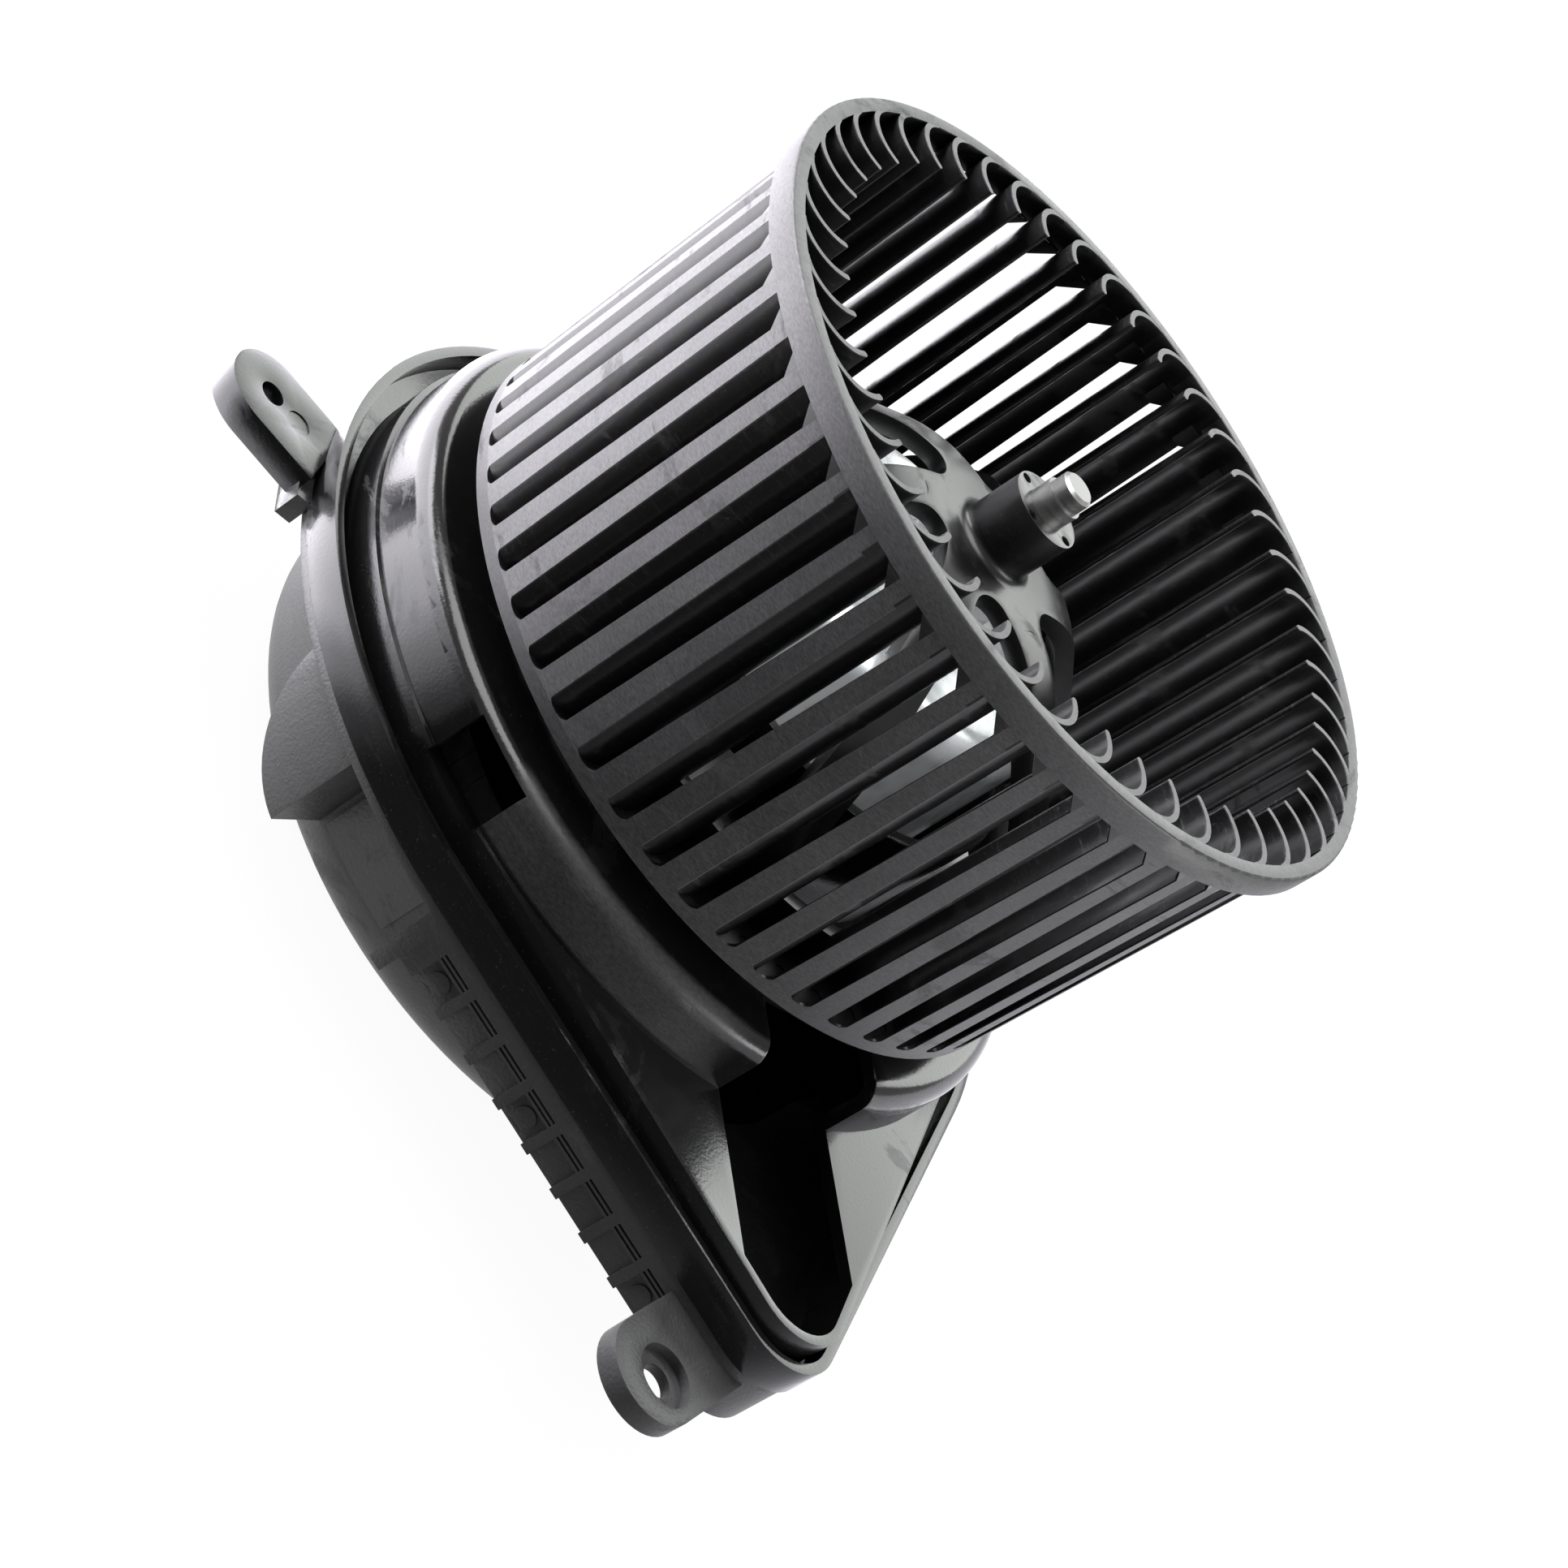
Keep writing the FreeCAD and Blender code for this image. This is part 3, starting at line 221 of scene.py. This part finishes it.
def housing_plastic():
    return moulded_plastic("housing_plastic", (0.0050, 0.0050, 0.0052), 0.16, 0.2, (1500.0, 0.25),
                           rubbed_panel, (0.022, 0.0215, 0.022))


def cover_plastic():
    return moulded_plastic("cover_plastic", (0.022, 0.022, 0.0225), 0.42, 0.2, (1500.0, 1.0))


def zinc_steel():
    n = Nodes("zinc_steel")
    spangle = n.cells(260.0)
    drawn = n.noise(500.0, 3.0, 0.6, n.stretched((1, 1, 0.05)))
    base = n.mix(n.ramp(spangle, 0.0, 0.6), (0.50, 0.53, 0.55), (0.68, 0.70, 0.71))
    rough = n.ramp(drawn, 0.3, 0.7, 0.25, 0.36)
    return n.finish(Base_Color=base, Metallic=0.6, Roughness=rough,
                    Normal=n.bump(drawn, 0.15, 0.0001))


def bright_steel():
    n = Nodes("bright_steel")
    turned = n.noise(900.0, 2.0, 0.5, n.stretched((0.03, 0.03, 2.0)))
    wear = n.noise(120.0, 4.0)
    base = n.mix(n.ramp(wear, 0.4, 0.7), (0.40, 0.40, 0.39), (0.28, 0.28, 0.27))
    # Faces that point straight up the axis, such as the shaft's end, are painted darker (0.13):
    # painted shade, not the steel's own colour.
    facing = n.add("ShaderNodeNewGeometry").outputs["Normal"]
    up = n.add("ShaderNodeSeparateXYZ", Vector=facing).outputs["Z"]
    base = n.mix(n.ramp(up, 0.9, 0.98), base, (0.13, 0.13, 0.13))
    return n.finish(Base_Color=base, Metallic=1.0, Roughness=n.ramp(turned, 0.3, 0.7, 0.30, 0.45))


def lamination_steel():
    n = Nodes("lamination_steel")
    sheets = n.add("ShaderNodeTexWave", Vector=n.point, Scale=320.0, Distortion=0.4)
    sheets.bands_direction = "Z"
    base = n.mix(n.ramp(n.noise(90.0), 0.3, 0.7), (0.16, 0.16, 0.17), (0.30, 0.29, 0.28))
    return n.finish(Base_Color=base, Metallic=0.9, Roughness=0.45,
                    Normal=n.bump(sheets.outputs["Fac"], 0.5, 0.0002))


def copper():
    n = Nodes("copper")
    strands = n.add("ShaderNodeTexWave", Vector=n.point, Scale=420.0, Distortion=3.0, Detail=2.0)
    base = n.mix(n.ramp(n.noise(160.0), 0.3, 0.7), (0.46, 0.12, 0.045), (0.72, 0.27, 0.12))
    return n.finish(Base_Color=base, Metallic=0.85, Roughness=0.3,
                    Normal=n.bump(strands.outputs["Fac"], 0.6, 0.0003))


def bronze():
    n = Nodes("bronze")
    pores = n.cells(1400.0)
    base = n.mix(n.ramp(pores, 0.0, 0.5), (0.30, 0.18, 0.07), (0.60, 0.40, 0.18))
    return n.finish(Base_Color=base, Metallic=0.9, Roughness=0.42,
                    Normal=n.bump(pores, 0.3, 0.0001))


def ferrite():
    n = Nodes("ferrite")
    base = n.mix(n.ramp(n.noise(300.0, 5.0), 0.3, 0.7), (0.06, 0.06, 0.065), (0.13, 0.13, 0.14))
    return n.finish(Base_Color=base, Roughness=0.6, Normal=n.bump(n.noise(1800.0), 0.3, 0.0001))


def carbon():
    n = Nodes("carbon")
    base = n.mix(n.ramp(n.noise(700.0, 4.0), 0.4, 0.7), (0.03, 0.03, 0.03), (0.11, 0.10, 0.10))
    return n.finish(Base_Color=base, Roughness=0.55, Normal=n.bump(n.noise(2200.0), 0.3, 0.0001))


def rubber():
    n = Nodes("rubber")
    base = n.mix(n.ramp(n.noise(240.0, 5.0), 0.35, 0.7), (0.014, 0.014, 0.014),
                 (0.035, 0.034, 0.033))
    return n.finish(Base_Color=base, Roughness=0.72, Normal=n.bump(n.noise(1500.0), 0.25, 0.0001))


def card_plastic():
    n = Nodes("card_plastic")
    base = n.mix(n.ramp(n.noise(180.0, 6.0), 0.3, 0.7), (0.16, 0.075, 0.035), (0.30, 0.15, 0.07))
    return n.finish(Base_Color=base, Roughness=0.5, Normal=n.bump(n.noise(1200.0), 0.2, 0.0001))


MATERIALS = {
    "wheel_plastic": wheel_plastic, "housing_plastic": housing_plastic,
    "cover_plastic": cover_plastic, "zinc_steel": zinc_steel, "bright_steel": bright_steel,
    "lamination_steel": lamination_steel, "copper": copper, "bronze": bronze,
    "ferrite": ferrite, "carbon": carbon, "rubber": rubber, "card_plastic": card_plastic,
}


def paint_nodes():
    """Every CAD node gets the material of its slot in the record."""
    slots = {item["node"]: item["material_slot"] for item in frame["record"]["subparts"]}
    made = {}
    for name, item in frame["nodes"].items():
        slot = slots[name]
        if slot not in made:
            made[slot] = MATERIALS[slot]()
        item.data.materials.clear()
        item.data.materials.append(made[slot])


# ---------------------------------------------------------------- studio

TARGET = Vector((8.7, -12.7, 12.6)) * MM
DISTANCE = 695.0 * MM
AZIMUTH, ELEVATION, ROLL = math.radians(-48.01), math.radians(27.13), math.radians(57.64)
LENS = 91.55

WHITE = (1.0, 1.0, 1.0, 1.0)
SKY_TINT, SKY_STRENGTH = (0.98, 0.98, 1.0, 1.0), 0.5
FLOOR_Z = CAD_BOX[0].z - 0.3 * MM
FLOOR_SIZE, FLOOR_TONE, FLOOR_GLOW = 8.0, 0.22, 0.93
BACKDROP_RADIUS, BACKDROP_HEIGHT = 3.9, 4.0


def towards(azimuth, elevation):
    """The direction from the object to a place round it."""
    return Vector((math.sin(azimuth) * math.cos(elevation),
                   -math.cos(azimuth) * math.cos(elevation), math.sin(elevation)))


def make_camera():
    data = bpy.data.cameras.new("camera")
    data.sensor_width = 36.0
    data.lens = LENS
    data.clip_start, data.clip_end = 0.05, 20.0
    camera = bpy.data.objects.new("camera", data)
    back = towards(AZIMUTH, ELEVATION)
    turn = (-back).to_track_quat("-Z", "Y").to_matrix().to_4x4()
    roll = Matrix.Rotation(ROLL, 4, "Z")
    camera.matrix_world = Matrix.Translation(TARGET + back * DISTANCE) @ turn @ roll
    bpy.context.scene.collection.objects.link(camera)
    bpy.context.scene.camera = camera


def link(item):
    bpy.context.scene.collection.objects.link(item)
    return item


def seen_only(item, kept):
    """Hides a studio piece from every kind of ray but one, so that it throws no shadow."""
    for kind in ("camera", "diffuse", "glossy", "transmission", "shadow"):
        if kind != kept:
            setattr(item, "visible_" + kind, False)


def glossy_only(item):
    """A studio piece that is seen in reflections only."""
    seen_only(item, "glossy")


def glow(name, base, colour_of_light, strength, **sockets):
    """A studio surface that gives light and reflects none sharply."""
    n = Nodes(name)
    return n.finish(Base_Color=colour(base), Specular_IOR_Level=0.0,
                    Emission_Color=colour_of_light, Emission_Strength=strength, **sockets)


def collect(name, node_names):
    """A collection of CAD nodes, for the lamps that light or are shaded by these only."""
    chosen = bpy.data.collections.new(name)
    for node_name in node_names:
        chosen.objects.link(frame["nodes"][node_name])
    return chosen


# Each lamp's direction from the object, distance and width in metres, watts and tint.
LAMPS = {
    "back_box": ((0.66, 0.60, 0.50), 1.1, 1.1, 14.0, (0.97, 1, 0.97)),
    "top_box": ((-0.3, 0.25, 1.0), 1.2, 0.9, 15.0, (1, 1, 1)),
    "left_box": ((-0.64, 0.77, 0.21), 1.0, 0.8, 22.0, (0.97, 0.96, 1)),
    "wheel_box": ((-0.62, 0.79, 0.21), 1.0, 0.6, 105.0, (0.97, 0.96, 1)),
    "right_box": ((0.64, -0.77, 0.21), 1.0, 0.8, 12.0, (1, 1, 1)),
    "inner_box": ((-0.50, -0.24, 0.83), 0.8, 0.5, 7.5, (1, 1, 1)),
}
INSIDE = ["motor_can", "armature_windings"]


def soft_box(name):
    """A square lamp that faces the object."""
    direction, distance, size, power, tint = LAMPS[name]
    direction = Vector(direction)
    data = bpy.data.lights.new(name, "AREA")
    data.shape = "SQUARE"
    data.size = size
    data.energy = power
    data.color = tint
    lamp = link(bpy.data.objects.new(name, data))
    spot = TARGET + direction.normalized() * distance
    lamp.matrix_world = (Matrix.Translation(spot)
                         @ (-direction).to_track_quat("-Z", "Y").to_matrix().to_4x4())
    return lamp


# Brightness of the reflector wall by compass angle about the fan axis, 0 towards +X.
WALL_GLOW = ((0, 1.5), (45, 1.5), (85, 4.0), (112, 7.0), (147, 9.0), (168, 7.0), (180, 3.0),
             (190, 0.5), (200, 0.05), (240, 0.05), (262, 0.4), (285, 1.1), (310, 1.6), (335, 1.8),
             (360, 1.5))
WALL_STEPS = 180
WALL_INNER, WALL_OUTER, WALL_TOP = 100 * MM, 172 * MM, 52 * MM
WALL_TINT = (0.96, 0.94, 1.0, 1.0)


def glow_at(angle):
    """Smooth steps between the wall's stated places."""
    for (low, first), (high, second) in zip(WALL_GLOW, WALL_GLOW[1:]):
        if low <= angle <= high:
            part = (angle - low) / (high - low)
            part = part * part * (3 - 2 * part)
            return first + (second - first) * part
    return WALL_GLOW[0][1]


def make_wall():
    """Low curved reflector round the object, bright on one side and dark in front."""
    foot = FLOOR_Z + 1 * MM
    rings = ((WALL_INNER, foot), (WALL_OUTER, foot), (WALL_OUTER, WALL_TOP))
    verts, faces, levels = [], [], []
    for step in range(WALL_STEPS):
        angle = 2 * math.pi * step / WALL_STEPS
        for radius, height in rings:
            verts.append((radius * math.cos(angle), radius * math.sin(angle), height))
            levels.append(glow_at(FULL_TURN * step / WALL_STEPS))
        a, b = 3 * step, 3 * ((step + 1) % WALL_STEPS)
        faces += [(a, b, b + 1, a + 1), (a + 1, b + 1, b + 2, a + 2)]
    mesh = bpy.data.meshes.new("reflector_wall")
    mesh.from_pydata(verts, [], faces)
    mesh.attributes.new("glow", "FLOAT", "POINT").data.foreach_set("value", levels)
    wall = link(bpy.data.objects.new("reflector_wall", mesh))
    n = Nodes("reflector_glow")
    attribute = n.tree.nodes.new("ShaderNodeAttribute")
    attribute.attribute_name = "glow"
    mesh.materials.append(n.finish(Base_Color=colour(0.0), Specular_IOR_Level=0.0,
                                   Emission_Color=WALL_TINT,
                                   Emission_Strength=attribute.outputs["Fac"]))
    glossy_only(wall)


def make_floor():
    """Pale floor that glows a little, so that the shadows on it stay faint."""
    bpy.ops.mesh.primitive_plane_add(size=FLOOR_SIZE, location=(0, 0, FLOOR_Z))
    floor = bpy.context.object
    floor.name = "floor"
    floor.data.materials.append(glow("floor_white", FLOOR_TONE, WHITE, FLOOR_GLOW, Roughness=0.9))


def make_backdrop():
    """Pale wall at the floor's far edge. It adds no light, and only low views show it."""
    bpy.ops.mesh.primitive_cylinder_add(radius=BACKDROP_RADIUS, depth=BACKDROP_HEIGHT,
                                        vertices=96, end_fill_type="NOTHING",
                                        location=(0, 0, FLOOR_Z + BACKDROP_HEIGHT / 2))
    backdrop = bpy.context.object
    backdrop.name = "backdrop"
    backdrop.data.materials.append(glow("backdrop_white", 0.0, WHITE, 1.0))
    seen_only(backdrop, "camera")


def make_lamps():
    """Two lamps seen in reflections only, and four that light chosen nodes and not the floor."""
    lamps = {name: soft_box(name) for name in LAMPS}
    glossy_only(lamps["back_box"])
    glossy_only(lamps["top_box"])
    everything = list(frame["nodes"])
    lit = {
        "left_box": collect("lit_left", everything),
        "wheel_box": collect("lit_wheel", ["wheel_rim", "wheel_blades", "rear_cover"]),
        "right_box": collect("lit_right", everything),
        "inner_box": collect("lit_inside", INSIDE),
    }
    for name, receivers in lit.items():
        lamps[name].light_linking.receiver_collection = receivers
    lamps["wheel_box"].visible_glossy = False
    blockers = collect("shades_inside", INSIDE + ["carrier_flange", "rear_cover"])
    lamps["inner_box"].light_linking.blocker_collection = blockers


def make_studio():
    make_camera()
    make_floor()
    make_backdrop()
    make_wall()
    world = bpy.data.worlds.new("studio")
    world.use_nodes = True
    sky = world.node_tree.nodes["Background"]
    sky.inputs["Color"].default_value = SKY_TINT
    sky.inputs["Strength"].default_value = SKY_STRENGTH
    bpy.context.scene.world = world
    make_lamps()
    bpy.context.scene.view_settings.view_transform = "Standard"


# ---------------------------------------------------------------- smooth shading and edges

# Width in millimetres of the break on a node's edges.
EDGE_BREAK = {"wheel_rim": 0.20, "wheel_hub": 0.15, "carrier_flange": 0.40, "rear_cover": 0.35,
              "motor_can": 0.30}
SMOOTH_LIMIT = math.radians(30.0)
BLADE_LIMIT = math.radians(18.0)
WELD_DISTANCE = 0.002 * MM


def mesh_group(name):
    """An empty geometry node group, with its first and last nodes."""
    group = bpy.data.node_groups.new(name, "GeometryNodeTree")
    group.interface.new_socket("Geometry", in_out="INPUT", socket_type="NodeSocketGeometry")
    group.interface.new_socket("Geometry", in_out="OUTPUT", socket_type="NodeSocketGeometry")
    return group, group.nodes.new("NodeGroupInput"), group.nodes.new("NodeGroupOutput")


def weld_group():
    """Joins doubled points and drops the stored normals."""
    group, start, end = mesh_group("weld_points")
    nodes, links = group.nodes, group.links
    merge = nodes.new("GeometryNodeMergeByDistance")
    merge.inputs["Distance"].default_value = WELD_DISTANCE
    drop = nodes.new("GeometryNodeRemoveAttribute")
    drop.inputs["Name"].default_value = "custom_normal"
    links.new(start.outputs[0], merge.inputs["Geometry"])
    links.new(merge.outputs["Geometry"], drop.inputs["Geometry"])
    links.new(drop.outputs["Geometry"], end.inputs[0])
    return group


def smooth_group(name, limit):
    """Shades edges smooth where their faces meet at less than the limit."""
    group, start, end = mesh_group(name)
    nodes, links = group.nodes, group.links
    angle = nodes.new("GeometryNodeInputMeshEdgeAngle")
    flat = nodes.new("FunctionNodeCompare")
    flat.operation = "LESS_THAN"
    flat.inputs["B"].default_value = limit
    links.new(angle.outputs["Unsigned Angle"], flat.inputs["A"])
    edges = nodes.new("GeometryNodeSetShadeSmooth")
    edges.domain = "EDGE"
    sides = nodes.new("GeometryNodeSetShadeSmooth")
    sides.domain = "FACE"
    links.new(start.outputs[0], edges.inputs["Geometry"])
    links.new(flat.outputs["Result"], edges.inputs["Shade Smooth"])
    links.new(edges.outputs["Geometry"], sides.inputs["Geometry"])
    links.new(sides.outputs["Geometry"], end.inputs[0])
    return group


def finish_edges():
    """Worn edges and smooth shading on the CAD nodes, by modifiers only."""
    weld = weld_group()
    smooth = smooth_group("smooth_shading", SMOOTH_LIMIT)
    smooth_blades = smooth_group("smooth_blades", BLADE_LIMIT)
    for name, item in frame["nodes"].items():
        item.modifiers.new("weld", "NODES").node_group = weld
        if name in EDGE_BREAK:
            bevel = item.modifiers.new("edge_break", "BEVEL")
            bevel.width = EDGE_BREAK[name] * MM
            bevel.segments = 2
            bevel.limit_method = "ANGLE"
            bevel.angle_limit = SMOOTH_LIMIT
            bevel.harden_normals = False
        blades = name == "wheel_blades"
        item.modifiers.new("smooth", "NODES").node_group = smooth_blades if blades else smooth


paint_nodes()
finish_edges()
make_studio()
